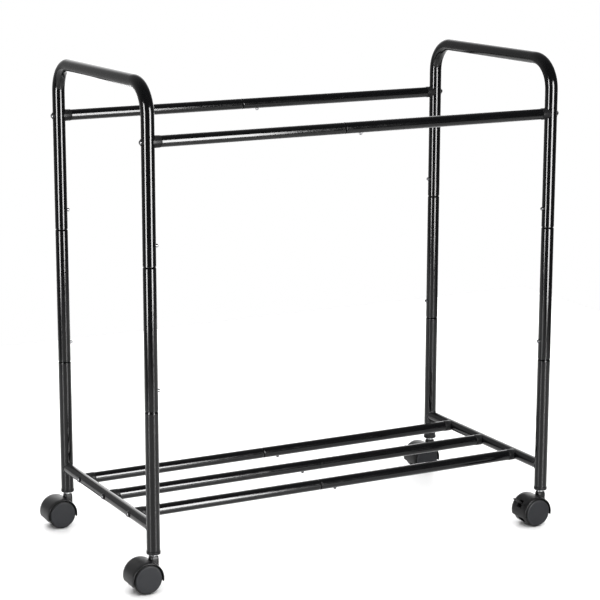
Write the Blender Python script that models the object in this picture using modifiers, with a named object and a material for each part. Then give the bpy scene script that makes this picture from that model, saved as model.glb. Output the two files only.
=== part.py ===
"""Rolling clothes rack: two tubular end frames, two upper rails, three lower rails and four casters.

World frame in metres: +X along the rails, +Y from the front to the rear, +Z up, floor at Z = 0.
Most shapes are built once in a local frame and shared by their copies. An end frame is built at
X = 0 with +X pointing at the other end frame, a rail along X with its middle at X = 0, and a
caster around its stem's axis with the wheels trailing towards -X.
"""

import math

import bmesh
import bpy
from mathutils import Matrix

MM = 0.001
GAP = 0.3 * MM  # between pieces that touch on the real rack

# Layout of the rack
SPAN = 750 * MM  # between the posts' axes, along X
DEPTH = 372 * MM  # between the posts' axes, along Y
CAP_BOTTOM = 60.5 * MM  # underside of the sockets that close the posts
CROSS_HEIGHT = 105 * MM  # axis of the cross tubes and lower rails
LOW_JOINT = 299 * MM  # base frame to middle posts
HIGH_JOINT = 533 * MM  # middle posts to top hoop
RAIL_HEIGHT = 728.5 * MM  # axis of the upper rails
HOOP_HEIGHT = 819 * MM  # axis of the hoops' top bars
HOOP_BEND = 50 * MM  # bend radius at the tube's axis
LOWER_RAIL_PITCH = 107 * MM  # between neighbouring lower rails, along Y

# Tubes
POST_R = 11 * MM
RAIL_R = 9.5 * MM
WALL = 1 * MM
SWAGE_STEP = 1.4 * MM  # how much smaller in radius a reduced tube end is
SWAGE_WALL = 0.9 * MM
SHOULDER = 2 * MM  # length of the rounded step down to the reduced end
INSERT = 47 * MM  # length of the reduced end
RAIL_JOINT = -27 * MM  # joint of a rail, from its middle
TUBE_SIDES = 14
BEND_STEPS = 6

# Rail end plugs
SADDLE_START = 5 * MM  # tips of the saddle, from the axis of the tube that it hugs
COLLAR_LENGTH = 9.5 * MM  # visible part of the plug, outside the tube that it hugs
COLLAR_R = 9.9 * MM
PLUG_INSERT = 18 * MM
PLUG_BORE_R = 2.2 * MM
SCREW_HOLE_R = 2.8 * MM

# Snap buttons
BUTTON_RISE = 32 * MM  # from a post joint up to its button
RAIL_BUTTON_SHIFT = 30 * MM  # from a rail joint to its button
POST_BUTTON_R = 3 * MM
RAIL_BUTTON_R = 2.75 * MM
BUTTON_SLACK = 0.3 * MM
POST_BUTTON_TIP = 15.5 * MM  # from the tube's axis
RAIL_BUTTON_TIP = 13 * MM
SPRING_THICKNESS = 0.8 * MM
BUTTON_SIDES = 12

# Stem sockets
SOCKET_FLANGE_R = 12.2 * MM
SOCKET_FLANGE = 5 * MM
SOCKET_BODY_R = 9.5 * MM
SOCKET_DEPTH = 30 * MM
SOCKET_BORE_R = 4.35 * MM

# Casters
STEM_R = 4 * MM
STEM_TOP = CAP_BOTTOM + 26 * MM
STEM_FOOT = 34.5 * MM
NECK_TOP = CAP_BOTTOM - 2.6 * MM
NECK_BOTTOM = 32 * MM
NECK_HALF_X = 7.3 * MM
NECK_HALF_Y = 6.9 * MM
TRAIL = 18 * MM  # from the stem's axis to the axle
WHEEL_R = 25 * MM
WHEEL_WIDTH = 15.4 * MM
WHEEL_INNER_FACE = 7 * MM  # from the middle of the caster
WHEEL_RIM = 3.2 * MM
WHEEL_FACE = 3.6 * MM
WHEEL_HUB_R = 6 * MM
WHEEL_SIDES = 20
HOOD_R = 28 * MM
HOOD_WALL = 1.8 * MM
HOOD_HALF_WIDTH = 21.5 * MM
HOOD_FIRST_ANGLE = -13
HOOD_LAST_ANGLE = 198
HOOD_STEPS = 16
HOOD_WEB = 6.4 * MM  # half thickness of the web between the wheels
BOSS_R = 7.6 * MM
AXLE_R = 2.5 * MM
AXLE_HALF = 17 * MM
RUNNING_GAP = 0.2 * MM

# Brake levers
LEVER_ANGLE = 145  # about the axle, from +X towards +Z
LEVER_RING_R = 6.6 * MM
LEVER_ARM_HALF = 1.8 * MM
LEVER_THICKNESS = 3 * MM
PEDAL_HALF = 5.4 * MM
PEDAL_START = 22 * MM
PEDAL_END = 44 * MM
SLOT_FIRST_ANGLE = 134
SLOT_LAST_ANGLE = 162
SLOT_START = 19.5 * MM
SLOT_SLACK = 0.6 * MM
ARM_SPREAD = 10  # degrees that the arm's room is wider than the pedal's slot, each way

# The casters all trail to -X, so the middle of the posts lies to +X of the middle of the whole.
FRAME_SHIFT = (TRAIL + HOOD_R - POST_R) / 2

CORNERS = {
    "left_front": (-1, -1),
    "left_rear": (-1, 1),
    "right_front": (1, -1),
    "right_rear": (1, 1),
}
BRAKED = ("right_front", "right_rear")
LOWER_RAILS = {"front": -LOWER_RAIL_PITCH, "middle": 0, "rear": LOWER_RAIL_PITCH}

# Name, base colour, roughness, metallic
MATERIALS = {
    "black_enamel": ((0.012, 0.012, 0.014, 1), 0.28, 0.0),
    "black_plastic": ((0.020, 0.020, 0.022, 1), 0.5, 0.0),
    "grey_plastic": ((0.045, 0.046, 0.05, 1), 0.42, 0.0),
    "steel": ((0.62, 0.62, 0.63, 1), 0.25, 1.0),
}


def clear_scene():
    for old in list(bpy.data.objects):
        bpy.data.objects.remove(old, do_unlink=True)


def add_collection(name):
    collection = bpy.data.collections.new(name)
    bpy.context.scene.collection.children.link(collection)
    return collection


def add_material(name, colour, roughness, metallic):
    material = bpy.data.materials.new(name)
    material.use_nodes = True
    shader = material.node_tree.nodes["Principled BSDF"]
    shader.inputs["Base Color"].default_value = colour
    shader.inputs["Roughness"].default_value = roughness
    shader.inputs["Metallic"].default_value = metallic


# ---------------------------------------------------------------- shape tools


def add_draft(name, data, matrix=None):
    """An object in the cutters collection: a shape to combine, or one that is still being built."""
    draft = bpy.data.objects.new(name, data)
    draft.hide_render = True
    draft.display_type = "WIRE"
    cutters.objects.link(draft)
    if matrix is not None:
        draft.matrix_world = matrix
    return draft


def baked(draft):
    """The finished mesh of a draft, with its modifiers and placement applied. The draft is removed."""
    bpy.context.view_layer.update()
    depsgraph = bpy.context.evaluated_depsgraph_get()
    mesh = bpy.data.meshes.new_from_object(draft.evaluated_get(depsgraph))
    mesh.transform(draft.matrix_world)
    for modifier in draft.modifiers:
        if modifier.type == "BOOLEAN":
            bpy.data.objects.remove(modifier.object, do_unlink=True)
    bpy.data.objects.remove(draft, do_unlink=True)
    shape = bmesh.new()
    shape.from_mesh(mesh)
    bmesh.ops.remove_doubles(shape, verts=shape.verts, dist=0.001 * MM)
    shape.to_mesh(mesh)
    shape.free()
    mesh.shade_smooth()
    mesh.set_sharp_from_angle(angle=math.radians(35))
    return mesh


def combine(draft, other, operation):
    modifier = draft.modifiers.new(other.name, "BOOLEAN")
    modifier.solver = "EXACT"
    modifier.operation = operation
    modifier.object = other


def turned(name, profile, sides, closed=True, matrix=None):
    """A profile of (radius, height) points, outer side first from the top down, turned about local Z."""
    mesh = bpy.data.meshes.new(name)
    count = len(profile)
    edges = [(i, i + 1) for i in range(count - 1)]
    if closed:
        edges.append((count - 1, 0))
    mesh.from_pydata([(radius, 0, height) for radius, height in profile], edges, [])
    draft = add_draft(name, mesh, matrix)
    screw = draft.modifiers.new("turn", "SCREW")
    screw.angle = 2 * math.pi
    screw.steps = sides
    screw.render_steps = sides
    screw.use_merge_vertices = True
    screw.merge_threshold = 0.001 * MM
    return draft


def cylinder(name, radius, length, sides, matrix):
    """A cylinder along local Z, centred on its origin."""
    shape = bmesh.new()
    bmesh.ops.create_cone(
        shape, cap_ends=True, segments=sides, radius1=radius, radius2=radius, depth=length
    )
    mesh = bpy.data.meshes.new(name)
    shape.to_mesh(mesh)
    shape.free()
    return add_draft(name, mesh, matrix)


def block(name, low, high):
    """A box between two corners."""
    size = [high[i] - low[i] for i in range(3)]
    middle = [(high[i] + low[i]) / 2 for i in range(3)]
    shape = bmesh.new()
    bmesh.ops.create_cube(shape, size=1, matrix=Matrix.Translation(middle) @ Matrix.Diagonal((*size, 1)))
    mesh = bpy.data.meshes.new(name)
    shape.to_mesh(mesh)
    shape.free()
    return add_draft(name, mesh)


def swept_tube(name, points, radius):
    """A solid round bar along a line of points."""
    curve = bpy.data.curves.new(name, "CURVE")
    curve.dimensions = "3D"
    curve.bevel_depth = radius
    curve.bevel_resolution = (TUBE_SIDES - 4) // 2
    curve.use_fill_caps = True
    curve.render_resolution_u = 0
    line = curve.splines.new("POLY")
    line.points.add(len(points) - 1)
    for spot, point in zip(line.points, points):
        spot.co = (*point, 1)
    return add_draft(name, baked(add_draft(name, curve)))


def plate(name, outline, half_thickness):
    """A flat outline in the XZ plane, thickened both ways along Y."""
    curve = bpy.data.curves.new(name, "CURVE")
    curve.dimensions = "2D"
    curve.fill_mode = "BOTH"
    curve.extrude = half_thickness
    line = curve.splines.new("POLY")
    line.points.add(len(outline) - 1)
    for spot, (x, z) in zip(line.points, outline):
        spot.co = (x, z, 0, 1)
    line.use_cyclic_u = True
    upright = Matrix.Rotation(math.radians(90), 4, "X")
    return add_draft(name, baked(add_draft(name, curve, upright)))


def arc(centre, radius, first_angle, last_angle, steps):
    """Points on an arc in a plane, with angles in degrees."""
    points = []
    for i in range(steps + 1):
        angle = math.radians(first_angle + (last_angle - first_angle) * i / steps)
        points.append((centre[0] + radius * math.cos(angle), centre[1] + radius * math.sin(angle)))
    return points


def along_x(x=0, y=0, z=0):
    """Turns local Z to +X and moves the origin."""
    return Matrix.Translation((x, y, z)) @ Matrix.Rotation(math.radians(90), 4, "Y")


def along_y(x=0, y=0, z=0):
    """Turns local Z to -Y and moves the origin."""
    return Matrix.Translation((x, y, z)) @ Matrix.Rotation(math.radians(90), 4, "X")


# ---------------------------------------------------------------- tubes


def reduced_end(outer_r, joint):
    """Profile points of a tube's reduced top end, down its outside and up its inside."""
    swage_r = outer_r - SWAGE_STEP
    outside = [
        (swage_r, joint + INSERT),
        (swage_r, joint - GAP),
        (outer_r - SWAGE_STEP / 3, joint - GAP - SHOULDER / 4),
        (outer_r, joint - GAP - SHOULDER),
    ]
    inside = [
        (outer_r - WALL, joint - GAP - 2 * SHOULDER),
        (swage_r - SWAGE_WALL, joint - GAP - SHOULDER),
        (swage_r - SWAGE_WALL, joint + INSERT),
    ]
    return outside, inside


def post_button_hole(height, y=0):
    """Cuts the wall that faces +X."""
    hole_r = POST_BUTTON_R + BUTTON_SLACK
    return cylinder("button_hole", hole_r, POST_R, TUBE_SIDES, along_x(POST_R, y, height))


def mid_post_mesh():
    """Origin on the axis, at the lower joint."""
    length = HIGH_JOINT - LOW_JOINT
    outside, inside = reduced_end(POST_R, length)
    post = turned("mid_post", outside + [(POST_R, 0), (POST_R - WALL, 0)] + inside, TUBE_SIDES)
    combine(post, post_button_hole(BUTTON_RISE), "DIFFERENCE")
    combine(post, post_button_hole(length + BUTTON_RISE), "DIFFERENCE")
    return baked(post)


def hoop_line(overrun=0):
    """Axis of the hoop: up the front leg, over the top and down the rear leg."""
    bend_y = DEPTH / 2 - HOOP_BEND
    bend_z = HOOP_HEIGHT - HOOP_BEND
    foot = HIGH_JOINT - overrun
    line = [(-DEPTH / 2, foot)]
    line += arc((-bend_y, bend_z), HOOP_BEND, 180, 90, BEND_STEPS)
    line += arc((bend_y, bend_z), HOOP_BEND, 90, 0, BEND_STEPS)
    line.append((DEPTH / 2, foot))
    return [(0, y, z) for y, z in line]


def hoop_mesh():
    """An upside-down U of tube, which is also the handle at its end of the rack."""
    hoop = swept_tube("hoop", hoop_line(), POST_R)
    combine(hoop, swept_tube("bore", hoop_line(WALL), POST_R - WALL), "DIFFERENCE")
    for y in (-DEPTH / 2, DEPTH / 2):
        combine(hoop, post_button_hole(HIGH_JOINT + BUTTON_RISE, y), "DIFFERENCE")
        screw_hole = cylinder(
            "screw_hole", SCREW_HOLE_R, 4 * POST_R, BUTTON_SIDES, along_x(0, y, RAIL_HEIGHT)
        )
        combine(hoop, screw_hole, "DIFFERENCE")
    return baked(hoop)


def base_frame_mesh():
    """Two short posts with a cross tube welded between them."""
    foot = CAP_BOTTOM + SOCKET_FLANGE + GAP
    outside, inside = reduced_end(POST_R, LOW_JOINT)
    solid_post = [(0, LOW_JOINT + INSERT)] + outside + [(POST_R, foot), (0, foot)]
    bore = [(0, LOW_JOINT + INSERT + WALL), (inside[2][0], LOW_JOINT + INSERT + WALL)]
    bore += [inside[1], inside[0], (POST_R - WALL, foot - WALL), (0, foot - WALL)]
    front = Matrix.Translation((0, -DEPTH / 2, 0))
    rear = Matrix.Translation((0, DEPTH / 2, 0))
    frame = turned("base_frame", solid_post, TUBE_SIDES, False, front)
    combine(frame, turned("rear_post", solid_post, TUBE_SIDES, False, rear), "UNION")
    cross = cylinder("cross_tube", RAIL_R, DEPTH, TUBE_SIDES, along_y(0, 0, CROSS_HEIGHT))
    combine(frame, cross, "UNION")
    for place in (front, rear):
        combine(frame, turned("post_bore", bore, TUBE_SIDES, False, place), "DIFFERENCE")
    cross_bore = cylinder(
        "cross_bore", RAIL_R - WALL, DEPTH - 2 * POST_R, TUBE_SIDES, along_y(0, 0, CROSS_HEIGHT)
    )
    combine(frame, cross_bore, "DIFFERENCE")
    for y in LOWER_RAILS.values():
        screw_hole = cylinder(
            "screw_hole", SCREW_HOLE_R, 4 * RAIL_R, BUTTON_SIDES, along_x(0, y, CROSS_HEIGHT)
        )
        combine(frame, screw_hole, "DIFFERENCE")
    for y in (-DEPTH / 2, DEPTH / 2):
        combine(frame, post_button_hole(LOW_JOINT + BUTTON_RISE, y), "DIFFERENCE")
    return baked(frame)


def rail_mesh(held_r, held_matrix, reduced):
    """Half of a rail with its saddle plug, which hugs a tube of radius held_r.

    The half with the reduced end lies to -X of the joint, and the plain half to +X of it.
    held_matrix turns local Z along the tube that the saddle hugs.
    """
    plug_outer = held_r + COLLAR_LENGTH
    plug_inner = plug_outer + PLUG_INSERT
    if reduced:
        end = -SPAN / 2
        outside, inside = reduced_end(RAIL_R, RAIL_JOINT)
        profile = outside + [
            (RAIL_R, end + plug_outer),
            (COLLAR_R, end + plug_outer),
            (COLLAR_R, end + SADDLE_START),
            (PLUG_BORE_R, end + SADDLE_START),
            (PLUG_BORE_R, end + plug_inner),
            (RAIL_R - WALL, end + plug_inner),
        ]
        profile += inside
    else:
        end = SPAN / 2
        profile = [
            (COLLAR_R, end - SADDLE_START),
            (COLLAR_R, end - plug_outer),
            (RAIL_R, end - plug_outer),
            (RAIL_R, RAIL_JOINT),
            (RAIL_R - WALL, RAIL_JOINT),
            (RAIL_R - WALL, end - plug_inner),
            (PLUG_BORE_R, end - plug_inner),
            (PLUG_BORE_R, end - SADDLE_START),
        ]
    rail = turned("rail", profile, TUBE_SIDES, True, along_x())
    held_tube = cylinder(
        "held_tube", held_r + GAP, 4 * COLLAR_R, 2 * TUBE_SIDES, Matrix.Translation((end, 0, 0)) @ held_matrix
    )
    combine(rail, held_tube, "DIFFERENCE")
    button_x = RAIL_JOINT + RAIL_BUTTON_SHIFT
    hole_r = RAIL_BUTTON_R + BUTTON_SLACK
    below = Matrix.Translation((button_x, 0, -RAIL_R))
    combine(rail, cylinder("button_hole", hole_r, RAIL_R, TUBE_SIDES, below), "DIFFERENCE")
    return baked(rail)


# ---------------------------------------------------------------- snap buttons


def ribbon(line, thickness):
    """Outline of a strip of even thickness along a line of points in a plane."""
    left = []
    right = []
    for i, (x, z) in enumerate(line):
        before = line[max(i - 1, 0)]
        after = line[min(i + 1, len(line) - 1)]
        run = math.hypot(after[0] - before[0], after[1] - before[1])
        across = (-(after[1] - before[1]) / run, (after[0] - before[0]) / run)
        left.append((x + across[0] * thickness / 2, z + across[1] * thickness / 2))
        right.append((x - across[0] * thickness / 2, z - across[1] * thickness / 2))
    return left + right[::-1]


def snap_button_mesh(button_r, tip, bore_r):
    """A domed button on one arm of a V spring. It points to +X, with its origin on the tube's axis.

    bore_r is the inner radius of the reduced tube that holds the spring.
    """
    strip_half = button_r - SPRING_THICKNESS / 2
    near_arm = math.sqrt((0.96 * bore_r) ** 2 - strip_half**2) - SPRING_THICKNESS
    fold_r = near_arm / 4
    fold_z = -14 * MM
    line = [(near_arm, 7 * MM), (near_arm, fold_z)]
    line += arc((near_arm - fold_r, fold_z), fold_r, -30, -150, 3)
    line += [(near_arm - 2 * fold_r, fold_z), (-0.05 * bore_r, 4 * MM)]
    spring = plate("spring", ribbon(line, SPRING_THICKNESS), strip_half)
    dome = [
        (0, tip),
        (0.6 * button_r, tip - 0.15 * button_r),
        (0.9 * button_r, tip - 0.5 * button_r),
        (button_r, tip - button_r),
        (button_r, near_arm),
        (0, near_arm),
    ]
    combine(spring, turned("dome", dome, BUTTON_SIDES, False, along_x()), "UNION")
    return baked(spring)


# ---------------------------------------------------------------- casters


def socket_mesh():
    """Plastic bush in the foot of a post, with a rounded flange below the tube."""
    top = CAP_BOTTOM + SOCKET_FLANGE + SOCKET_DEPTH
    flange_top = CAP_BOTTOM + SOCKET_FLANGE
    profile = [
        (SOCKET_BODY_R, top),
        (SOCKET_BODY_R, flange_top),
        (SOCKET_FLANGE_R, flange_top),
        (SOCKET_FLANGE_R, CAP_BOTTOM + 2 * MM),
        (SOCKET_FLANGE_R - 2 * MM, CAP_BOTTOM),
        (SOCKET_BORE_R, CAP_BOTTOM),
        (SOCKET_BORE_R, top),
    ]
    return baked(turned("socket", profile, TUBE_SIDES))


def stem_mesh():
    """Steel pin that stands in the socket; the hood turns on its lower end."""
    profile = [
        (0, STEM_TOP),
        (STEM_R - MM, STEM_TOP),
        (STEM_R, STEM_TOP - MM),
        (STEM_R, STEM_FOOT),
        (0, STEM_FOOT),
    ]
    return baked(turned("stem", profile, BUTTON_SIDES, False))


def axle_sector(name, first_angle, last_angle, steps, radius, start, half_thickness):
    """A plate sector around the axle, from radius start to radius."""
    outline = arc((-TRAIL, WHEEL_R), radius, first_angle, last_angle, steps)
    if start > 0:
        outline += arc((-TRAIL, WHEEL_R), start, last_angle, first_angle, steps)
    else:
        outline.append((-TRAIL, WHEEL_R))
    return plate(name, outline, half_thickness)


def hood_mesh(braked):
    """Hood over both wheels, with the neck for the stem and the web that holds the axle."""
    hood = axle_sector(
        "hood", HOOD_FIRST_ANGLE, HOOD_LAST_ANGLE, HOOD_STEPS, HOOD_R, 0, HOOD_HALF_WIDTH
    )
    neck = block(
        "neck",
        (-NECK_HALF_X, -NECK_HALF_Y, NECK_BOTTOM),
        (NECK_HALF_X, NECK_HALF_Y, NECK_TOP),
    )
    combine(hood, neck, "UNION")
    well_length = HOOD_HALF_WIDTH
    for side in (-1, 1):
        well_middle = along_y(-TRAIL, side * (HOOD_WEB + well_length / 2), WHEEL_R)
        well = cylinder("wheel_well", HOOD_R - HOOD_WALL, well_length, 2 * HOOD_STEPS, well_middle)
        combine(hood, well, "DIFFERENCE")
    boss = cylinder("axle_boss", BOSS_R, 2 * HOOD_WEB, TUBE_SIDES, along_y(-TRAIL, 0, WHEEL_R))
    combine(hood, boss, "UNION")
    if braked:
        pocket_half = LEVER_ARM_HALF + SLOT_SLACK
        pocket_r = LEVER_RING_R + SLOT_SLACK
        pocket = cylinder(
            "lever_pocket", pocket_r, 2 * pocket_half, TUBE_SIDES, along_y(-TRAIL, 0, WHEEL_R)
        )
        combine(hood, pocket, "DIFFERENCE")
        first = SLOT_FIRST_ANGLE
        last = SLOT_LAST_ANGLE
        arm_room = axle_sector(
            "arm_room", first - ARM_SPREAD, last + ARM_SPREAD, 4, SLOT_START + MM, AXLE_R + MM, pocket_half
        )
        combine(hood, arm_room, "DIFFERENCE")
        pedal_half = PEDAL_HALF + SLOT_SLACK
        pedal_slot = axle_sector("pedal_slot", first, last, 3, PEDAL_END, SLOT_START, pedal_half)
        combine(hood, pedal_slot, "DIFFERENCE")
    axle_bore = cylinder(
        "axle_bore", AXLE_R + RUNNING_GAP, 4 * HOOD_WEB, BUTTON_SIDES, along_y(-TRAIL, 0, WHEEL_R)
    )
    combine(hood, axle_bore, "DIFFERENCE")
    bore_foot = STEM_FOOT - GAP
    bore_length = NECK_TOP - bore_foot + MM
    stem_bore = cylinder(
        "stem_bore",
        STEM_R + RUNNING_GAP,
        bore_length,
        TUBE_SIDES,
        Matrix.Translation((0, 0, bore_foot + bore_length / 2)),
    )
    combine(hood, stem_bore, "DIFFERENCE")
    return baked(hood)


def wheel_mesh():
    """Cup-shaped wheel around local Z, open on its inner face at Z = 0, with a flat facet down."""
    rim_r = WHEEL_R / math.cos(math.pi / WHEEL_SIDES)
    bore_r = AXLE_R + RUNNING_GAP
    bore_depth = AXLE_HALF - WHEEL_INNER_FACE + 0.5 * MM
    cup_depth = WHEEL_WIDTH - WHEEL_FACE
    profile = [
        (0, WHEEL_WIDTH),
        (rim_r - 2 * MM, WHEEL_WIDTH - 0.4 * MM),
        (rim_r, WHEEL_WIDTH - 2.2 * MM),
        (rim_r, 1.2 * MM),
        (rim_r - 1.2 * MM, 0),
        (rim_r - WHEEL_RIM, 0),
        (rim_r - WHEEL_RIM, cup_depth),
        (WHEEL_HUB_R, cup_depth),
        (WHEEL_HUB_R, 0),
        (bore_r, 0),
        (bore_r, bore_depth),
        (0, bore_depth),
    ]
    facet_down = Matrix.Rotation(math.pi / WHEEL_SIDES, 4, "Z")
    return baked(turned("wheel", profile, WHEEL_SIDES, False, facet_down))


def axle_mesh():
    return baked(cylinder("axle", AXLE_R, 2 * AXLE_HALF, BUTTON_SIDES, along_y()))


def lever_mesh():
    """Brake lever: a ring on the axle, a thin arm and a wide pedal, pointing to +X."""
    lever = cylinder("lever", LEVER_RING_R, 2 * LEVER_ARM_HALF, BUTTON_SIDES, along_y())
    half = LEVER_THICKNESS / 2
    arm_start = (LEVER_RING_R - 2 * MM, -LEVER_ARM_HALF, -half)
    combine(lever, block("arm", arm_start, (PEDAL_START + MM, LEVER_ARM_HALF, half)), "UNION")
    pedal_low = (PEDAL_START, -PEDAL_HALF, -half)
    combine(lever, block("pedal", pedal_low, (PEDAL_END, PEDAL_HALF, half)), "UNION")
    bore = cylinder("bore", AXLE_R + RUNNING_GAP, 4 * LEVER_ARM_HALF, BUTTON_SIDES, along_y())
    combine(lever, bore, "DIFFERENCE")
    return baked(lever)


# ---------------------------------------------------------------- assembly


def place(name, mesh, material, location, parent, turn=None):
    """A finished part, placed relative to its parent."""
    part = bpy.data.objects.new(name, mesh)
    if not mesh.materials:
        mesh.materials.append(bpy.data.materials[material])
    parts.objects.link(part)
    part.parent = parent
    part.matrix_basis = Matrix.Translation(location) @ (turn or Matrix())
    return part


def turned_round(half_turn):
    return Matrix.Rotation(math.pi if half_turn else 0, 4, "Z")


def assemble_end_frames(rack):
    hoop = hoop_mesh()
    base = base_frame_mesh()
    mid_post = mid_post_mesh()
    button = snap_button_mesh(
        POST_BUTTON_R, POST_BUTTON_TIP, POST_R - SWAGE_STEP - SWAGE_WALL
    )
    for side, sign in (("left", -1), ("right", 1)):
        facing = turned_round(sign > 0)
        place("hoop_" + side, hoop, "black_enamel", (sign * SPAN / 2, 0, 0), rack, facing)
        place("base_frame_" + side, base, "black_enamel", (sign * SPAN / 2, 0, 0), rack, facing)
    for corner, (x_sign, y_sign) in CORNERS.items():
        facing = turned_round(x_sign > 0)
        x = x_sign * SPAN / 2
        y = y_sign * DEPTH / 2
        place("mid_post_" + corner, mid_post, "black_enamel", (x, y, LOW_JOINT), rack, facing)
        for level, joint in (("low", LOW_JOINT), ("high", HIGH_JOINT)):
            name = "snap_button_" + level + "_" + corner
            place(name, button, "steel", (x, y, joint + BUTTON_RISE), rack, facing)


def assemble_rails(rack):
    upright = Matrix()
    level = Matrix.Rotation(math.radians(90), 4, "X")
    upper = {"left": rail_mesh(POST_R, upright, True), "right": rail_mesh(POST_R, upright, False)}
    lower = {"left": rail_mesh(RAIL_R, level, True), "right": rail_mesh(RAIL_R, level, False)}
    button = snap_button_mesh(RAIL_BUTTON_R, RAIL_BUTTON_TIP, RAIL_R - SWAGE_STEP - SWAGE_WALL)
    point_down = Matrix.Rotation(math.radians(90), 4, "Y")
    button_x = RAIL_JOINT + RAIL_BUTTON_SHIFT
    rows = [("upper_rail_front", upper, -DEPTH / 2, RAIL_HEIGHT, False)]
    rows.append(("upper_rail_rear", upper, DEPTH / 2, RAIL_HEIGHT, False))
    for row, y in LOWER_RAILS.items():
        # The middle rail is fitted end for end.
        rows.append(("lower_rail_" + row, lower, y, CROSS_HEIGHT, row == "middle"))
    for name, halves, y, z, swapped in rows:
        facing = turned_round(swapped)
        sides = ("right", "left") if swapped else ("left", "right")
        place(name + "_" + sides[0], halves["left"], "black_enamel", (0, y, z), rack, facing)
        place(name + "_" + sides[1], halves["right"], "black_enamel", (0, y, z), rack, facing)
        spot = (-button_x if swapped else button_x, y, z)
        place("snap_button_" + name, button, "steel", spot, rack, facing @ point_down)


def assemble_casters(rack):
    socket = socket_mesh()
    stem = stem_mesh()
    hoods = {False: hood_mesh(False), True: hood_mesh(True)}
    wheel = wheel_mesh()
    axle = axle_mesh()
    lever = lever_mesh()
    for corner, (x_sign, y_sign) in CORNERS.items():
        foot = (x_sign * SPAN / 2, y_sign * DEPTH / 2, 0)
        braked = corner in BRAKED
        place("stem_socket_" + corner, socket, "black_plastic", foot, rack)
        place("caster_stem_" + corner, stem, "steel", foot, rack)
        hood = place("caster_hood_" + corner, hoods[braked], "black_plastic", foot, rack)
        place("axle_" + corner, axle, "steel", (-TRAIL, 0, WHEEL_R), hood)
        for face, sign in (("front", -1), ("rear", 1)):
            spot = (-TRAIL, sign * WHEEL_INNER_FACE, WHEEL_R)
            outward = Matrix.Rotation(math.radians(-90 * sign), 4, "X")
            place("wheel_" + corner + "_" + face, wheel, "grey_plastic", spot, hood, outward)
        if braked:
            tilt = Matrix.Rotation(math.radians(-LEVER_ANGLE), 4, "Y")
            spot = (-TRAIL, 0, WHEEL_R)
            place("brake_lever_" + corner, lever, "black_plastic", spot, hood, tilt)


clear_scene()
parts = add_collection("rolling_clothes_rack")
cutters = add_collection("cutters")
for label, (base_colour, rough, metal) in MATERIALS.items():
    add_material(label, base_colour, rough, metal)
rack_middle = bpy.data.objects.new("rack_middle", None)
rack_middle.location = (FRAME_SHIFT, 0, 0)
parts.objects.link(rack_middle)
assemble_end_frames(rack_middle)
assemble_rails(rack_middle)
assemble_casters(rack_middle)
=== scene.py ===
"""Rolling clothes rack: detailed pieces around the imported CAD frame, their materials, light and camera.

World frame in metres: +X along the rails, +Y from the front to the rear, +Z up, floor at Z = 0.
Shapes are built once in a local frame, as in the CAD, and shared by their copies. A post, a plug
or a wheel is built about local Z, and matrices put the copies where the CAD nodes are.
"""

import math

import bmesh
import bpy
from mathutils import Matrix, Vector


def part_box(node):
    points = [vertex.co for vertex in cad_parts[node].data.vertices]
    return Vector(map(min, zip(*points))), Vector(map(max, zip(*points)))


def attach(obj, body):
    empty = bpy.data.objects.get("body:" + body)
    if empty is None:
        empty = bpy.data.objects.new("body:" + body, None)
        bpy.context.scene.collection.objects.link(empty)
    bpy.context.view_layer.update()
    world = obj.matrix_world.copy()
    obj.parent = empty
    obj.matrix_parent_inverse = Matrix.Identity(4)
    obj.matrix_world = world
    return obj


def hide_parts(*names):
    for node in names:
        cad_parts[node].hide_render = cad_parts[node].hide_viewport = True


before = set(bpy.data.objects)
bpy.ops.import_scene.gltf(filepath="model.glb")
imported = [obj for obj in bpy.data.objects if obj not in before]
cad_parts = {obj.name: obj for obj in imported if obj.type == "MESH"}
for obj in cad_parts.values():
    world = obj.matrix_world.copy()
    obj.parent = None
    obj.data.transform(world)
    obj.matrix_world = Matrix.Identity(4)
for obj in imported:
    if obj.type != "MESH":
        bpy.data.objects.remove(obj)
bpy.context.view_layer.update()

MM = 0.001

# Tubes
POST_R = 11 * MM
RAIL_R = 9.5 * MM
WALL = 1 * MM
LIP = 0.3 * MM  # rounding of a tube's cut end
SWAGE_STEP = 1.4 * MM  # how much smaller in radius a reduced tube end is
SWAGE_WALL = 0.9 * MM
SHOULDER = 3.2 * MM  # length of the rounded step down to the reduced end
INSERT = 47 * MM
JOINT_GAP = 0.35 * MM
HOOP_BEND = 50 * MM
HOOP_HEIGHT = 819 * MM
TUBE_SIDES = 48
BEND_STEPS = 14

# Weld beads
WELD_R = 1.5 * MM
WELD_SIDES = 10
COARSE_RIPPLE = 0.12  # shares of the bead's radius
FINE_RIPPLE = 0.07

# Extra rings of points on long plain runs
SUPPORT = 0.9 * MM  # from an outer corner to the ring that ends its wear
HOLE_MARGIN = 4.5 * MM  # from a hole's middle to the rings above and below it

# Sides of round pieces, shading and wear
SMALL_SIDES = 32
WHEEL_SIDES = 64
SHARP_ANGLE = 42  # degrees between faces that are shaded as an edge
WEAR_START = 12  # degrees of an outer corner that starts to lose its finish
WEAR_FULL = 32
WELDED = 0.002 * MM  # points closer than this are one point

# Rail end plugs, screws and saddle washers
SADDLE_START = 5 * MM
COLLAR_LENGTH = 9.5 * MM
COLLAR_R = 9.9 * MM
PLUG_INSERT = 18 * MM
SCREW_R = 2.2 * MM
SCREW_THREAD_R = 2.05 * MM
SCREW_HOLE_R = 2.8 * MM
SCREW_HEAD_R = 3.9 * MM
SCREW_HEAD = 2.3 * MM
SCREW_REACH = 20 * MM  # past the tube that it goes through
SCREW_POINT = 2 * MM
RECESS_HALF_LENGTH = 1.9 * MM
RECESS_HALF_WIDTH = 0.45 * MM
RECESS_DEPTH = 1.5 * MM
RECESS_TURN = 20  # degrees of the cross about the screw
WASHER_R = 5.6 * MM
WASHER = 1.5 * MM

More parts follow.
